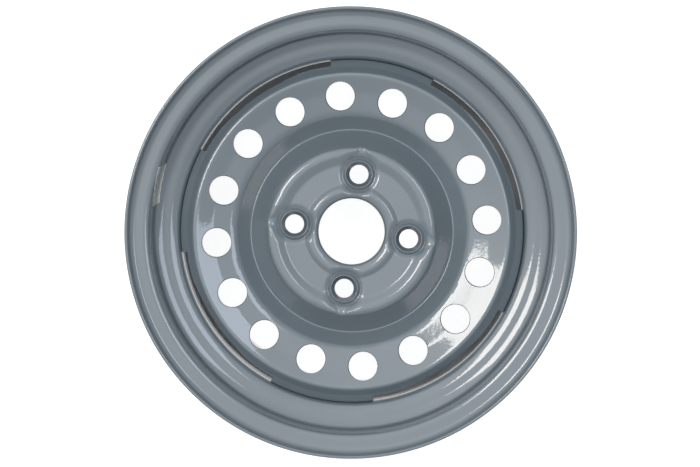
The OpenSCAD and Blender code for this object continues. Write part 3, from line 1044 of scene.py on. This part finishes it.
def white_board():
    """A sweep of matt white board, lit so that it shows white around the object."""
    mat, tree, out = new_material("Matt white board")
    # In a ring under the rim the board doesn't glow, so that the slots show its real shadow
    where = add(tree, "ShaderNodeTexCoord").outputs["Object"]
    flat = add(tree, "ShaderNodeVectorMath", {0: where, 1: (1.0, 1.0, 0.0)}, operation="MULTIPLY")
    far = add(tree, "ShaderNodeVectorMath", {0: flat.outputs[0]}, operation="LENGTH")
    ring = add(tree, "ShaderNodeValToRGB", {"Fac": far.outputs["Value"]})
    stops = ring.color_ramp.elements
    stops[0].position = 0.139
    stops[0].color = (1, 1, 1, 1)
    stops.new(0.142).color = (0, 0, 0, 1)
    stops.new(0.178).color = (0, 0, 0, 1)
    stops[-1].position = 0.19
    stops[-1].color = (1, 1, 1, 1)
    calc = sums(tree)
    power = calc("MULTIPLY", calc("MULTIPLY", unlit_rays(tree), ring.outputs["Color"]), BOARD_GLOW)
    matt = add(tree, "ShaderNodeBsdfDiffuse", {"Color": colour("#D0D0D0")})
    glow = add(tree, "ShaderNodeEmission", {"Color": (1, 1, 1, 1), "Strength": power})
    both = add(tree, "ShaderNodeAddShader", {0: matt.outputs[0], 1: glow.outputs[0]})
    tree.links.new(both.outputs[0], out.inputs["Surface"])
    return mat


def studio_world():
    """A pale room: brightest overhead towards the upper left, dim lower down, white where it is seen."""
    world = bpy.data.worlds.new("Pale studio")
    bpy.context.scene.world = world
    world.use_nodes = True
    tree = world.node_tree
    tree.nodes.clear()
    calc = sums(tree)
    where = add(tree, "ShaderNodeTexCoord").outputs["Generated"]
    toward = add(tree, "ShaderNodeVectorMath", {0: where, 1: KEY_WAY}, operation="DOT_PRODUCT")
    ceiling = add(tree, "ShaderNodeValToRGB", {"Fac": toward.outputs["Value"]})
    stops = ceiling.color_ramp.elements
    stops[0].position = 0.3
    stops[0].color = (0.03, 0.03, 0.03, 1)
    stops[1].position = 0.97
    stops[1].color = (1, 1, 1, 1)
    stops.new(0.72).color = (0.3, 0.3, 0.3, 1)
    up = add(tree, "ShaderNodeSeparateXYZ", {0: where}).outputs["Z"]
    low = add(tree, "ShaderNodeValToRGB", {"Fac": up})
    low.color_ramp.elements[0].position = 0.12
    low.color_ramp.elements[0].color = (1, 1, 1, 1)
    low.color_ramp.elements[1].position = 0.92
    low.color_ramp.elements[1].color = (0, 0, 0, 1)
    low.color_ramp.elements.new(0.3).color = (0.75, 0.75, 0.75, 1)
    low.color_ramp.elements.new(0.75).color = (0.5, 0.5, 0.5, 1)
    level = calc("ADD", calc("MULTIPLY", ceiling.outputs["Color"], KEY_LEVEL),
                 calc("MULTIPLY", low.outputs["Color"], unlit_rays(tree)))
    sky = add(tree, "ShaderNodeBackground", {"Color": colour("#F3F8FC"), "Strength": level})
    add(tree, "ShaderNodeOutputWorld", {"Surface": sky.outputs[0]})


# The camera stands almost on the wheel's axis. Its distance is from the lip, in metres, and from the
# hub face in millimetres; its lens is given as the pixels that one radian takes in the picture.

CAMERA_TURN = math.radians(7.4)
CAMERA_AWAY = 3.672
CAMERA_TILT = math.radians(2.4)
CAMERA_TOWARD = math.radians(53)
LENS_PIXELS = 4271
LENS_AWAY = 3704
PICTURE_WIDE = 700

# The wheel's middle stands this far above the picture's and to its right, in pixels, seen by the camera
AIM_UP = 0.55
AIM_RIGHT = 0.35

# The way to the brightest part of the room, and how bright it is

KEY_WAY = (-0.18, 0.165, 0.97)
KEY_LEVEL = 1.45


def soft_box(name, around, off_axis, distance, wide, high, watts, tint):
    """A softbox that faces the wheel, placed by its angles in the picture."""
    a = math.radians(around) + CAMERA_TURN
    t = math.radians(off_axis)
    spot = Vector((math.sin(t) * math.cos(a), math.sin(t) * math.sin(a), math.cos(t))) * distance
    data = bpy.data.lights.new(name, "AREA")
    data.shape = "RECTANGLE"
    data.size, data.size_y = wide, high
    data.energy = watts
    data.color = colour(tint)[:3]
    lamp = bpy.data.objects.new(name, data)
    # The long side points away from the wheel's axis
    back = spot.normalized()
    out = Vector((math.cos(a), math.sin(a), 0))
    out = (out - back * out.dot(back)).normalized()
    side = out.cross(back)
    lamp.matrix_world = Matrix.Translation(spot) @ Matrix((side, out, back)).transposed().to_4x4()
    bpy.context.scene.collection.objects.link(lamp)


def place_camera(shape):
    lip = Vector((0, 0, (shape.out_z + LIP_REACH) * MM))
    toward = CAMERA_TOWARD + CAMERA_TURN
    slant = math.sin(CAMERA_TILT)
    back = Vector((slant * math.cos(toward), slant * math.sin(toward), math.cos(CAMERA_TILT)))
    up = Vector((-math.sin(CAMERA_TURN), math.cos(CAMERA_TURN), 0))
    up = (up - back * up.dot(back)).normalized()
    right = up.cross(back)
    aim = lip - (up * AIM_UP + right * AIM_RIGHT) * CAMERA_AWAY / LENS_PIXELS
    data = bpy.data.cameras.new("camera")
    data.sensor_fit = "HORIZONTAL"
    data.sensor_width = 36.0
    data.lens = data.sensor_width * LENS_PIXELS / PICTURE_WIDE
    data.clip_end = 50
    camera = bpy.data.objects.new("camera", data)
    turn = Matrix((right, up, back)).transposed().to_4x4()
    camera.matrix_world = Matrix.Translation(aim + back * CAMERA_AWAY) @ turn
    bpy.context.scene.collection.objects.link(camera)
    bpy.context.scene.camera = camera


def lay_floor():
    mesh = bpy.data.meshes.new("floor")
    z, s = CAD_LOW.z - 0.0002, 6.0
    mesh.from_pydata([(-s, -s, z), (s, -s, z), (s, s, z), (-s, s, z)], [], [(0, 1, 2, 3)])
    mesh.materials.append(white_board())
    plain_object("floor", mesh)


class STEELWHEEL_OT_stage(bpy.types.Operator):
    """Lay the floor, light the room and place the camera"""

    bl_idname = "steel_wheel.stage"
    bl_label = "Stage"
    bl_options = {"UNDO"}

    def execute(self, context):
        context.scene.view_settings.view_transform = "Standard"
        lay_floor()
        studio_world()
        soft_box("warm softbox", 155, 22, 1.7, 0.4, 0.52, 5.0, "#FFFAF4")
        soft_box("cool softbox", 20, 22, 1.7, 0.6, 0.52, 3.0, "#E2ECFF")
        place_camera(Shape(context.scene.wheel_sizes))
        return {"FINISHED"}


class STEELWHEEL_OT_rim(bpy.types.Operator):
    """Roll the rim from its profile, with its butt weld and its valve hole"""

    bl_idname = "steel_wheel.rim"
    bl_label = "Rim"
    bl_options = {"UNDO"}

    def execute(self, context):
        shape = Shape(context.scene.wheel_sizes)
        enamel = gloss_enamel(context.scene.wheel_finish)
        mesh = run_tree("rolled_rim", rim_outline(shape), rolled_tree(), {
            "Segments": 300, "Butt angle": shape.butt_turn,
            "Butt height": BUTT_H * MM, "Butt width": BUTT_W * MM,
            "Valve angle": shape.valve_turn, "Valve diameter": shape.valve_d * MM,
            "Valve radius": shape.well_mid * MM, "Valve height": (shape.well_out - VALVE_IN) * MM,
            "Material": enamel})
        smooth_mesh(mesh, 45)
        finish_piece(plain_object("rolled_rim", mesh), enamel, "rim")
        return {"FINISHED"}


class STEELWHEEL_OT_disc(bpy.types.Operator):
    """Press the disc, with its nut seats, vents, slots and tabs"""

    bl_idname = "steel_wheel.disc"
    bl_label = "Disc"
    bl_options = {"UNDO"}

    def execute(self, context):
        shape = Shape(context.scene.wheel_sizes)
        enamel = gloss_enamel(context.scene.wheel_finish)
        finish_piece(plain_object("pressed_disc", build_disc(shape)), enamel, "disc")
        return {"FINISHED"}


class STEELWHEEL_OT_welds(bpy.types.Operator):
    """Lay a rippled weld bead at the edge of each tab"""

    bl_idname = "steel_wheel.welds"
    bl_label = "Welds"
    bl_options = {"UNDO"}

    def execute(self, context):
        shape = Shape(context.scene.wheel_sizes)
        enamel = gloss_enamel(context.scene.wheel_finish)
        leg = shape.weld_leg
        for k in range(STUD_COUNT):
            mesh = run_tree(f"weld_bead_{k + 1}", bpy.data.meshes.new("bead_base"), bead_tree(), {
                "Radius": (shape.rim_bore - 0.26 * leg) * MM, "Height": (-SKIRT_H - 0.26 * leg) * MM,
                "Thickness": 0.66 * leg * MM, "Start": TAB_TURN - WELD_HALF + k * 2 * math.pi / STUD_COUNT,
                "Sweep": 2 * WELD_HALF, "Ripple pitch": 0.0028, "Ripple depth": 0.00018, "Wander": 0.0005,
                "Seed": float(k), "Material": enamel})
            smooth_mesh(mesh, 60)
            finish_piece(plain_object(f"weld_bead_{k + 1}", mesh), enamel, f"weld_{k + 1}")
        return {"FINISHED"}


class STEELWHEEL_OT_label(bpy.types.Operator):
    """Stick the blank paper label inside the rim"""

    bl_idname = "steel_wheel.label"
    bl_label = "Label"
    bl_options = {"UNDO"}

    def execute(self, context):
        shape = Shape(context.scene.wheel_sizes)
        paper = label_paper(context.scene.wheel_finish)
        finish_piece(plain_object("paper_label", build_label(shape)), paper, "label")
        return {"FINISHED"}


OPERATORS = (STEELWHEEL_OT_stage, STEELWHEEL_OT_rim, STEELWHEEL_OT_disc, STEELWHEEL_OT_welds,
             STEELWHEEL_OT_label)


class STEELWHEEL_PT_panel(bpy.types.Panel):
    """The wheel's sizes, its colours and its parts"""

    bl_label = "Steel Wheel"
    bl_space_type = "VIEW_3D"
    bl_region_type = "UI"
    bl_category = "Steel Wheel"

    def draw(self, context):
        for kind in OPERATORS:
            self.layout.operator(kind.bl_idname)
        for group, title in ((context.scene.wheel_sizes, "Sizes"), (context.scene.wheel_finish, "Colours")):
            box = self.layout.box()
            box.label(text=title)
            for key in type(group).__annotations__:
                box.prop(group, key)


CLASSES = (WheelSizes, WheelFinish) + OPERATORS + (STEELWHEEL_PT_panel,)


def register():
    for kind in CLASSES:
        bpy.utils.register_class(kind)
    bpy.types.Scene.wheel_sizes = bpy.props.PointerProperty(type=WheelSizes)
    bpy.types.Scene.wheel_finish = bpy.props.PointerProperty(type=WheelFinish)


def unregister():
    del bpy.types.Scene.wheel_finish
    del bpy.types.Scene.wheel_sizes
    for kind in reversed(CLASSES):
        bpy.utils.unregister_class(kind)


def main():
    register()
    bpy.ops.steel_wheel.stage()
    bpy.ops.steel_wheel.rim()
    bpy.ops.steel_wheel.disc()
    bpy.ops.steel_wheel.welds()
    bpy.ops.steel_wheel.label()


if __name__ == "__main__":
    main()
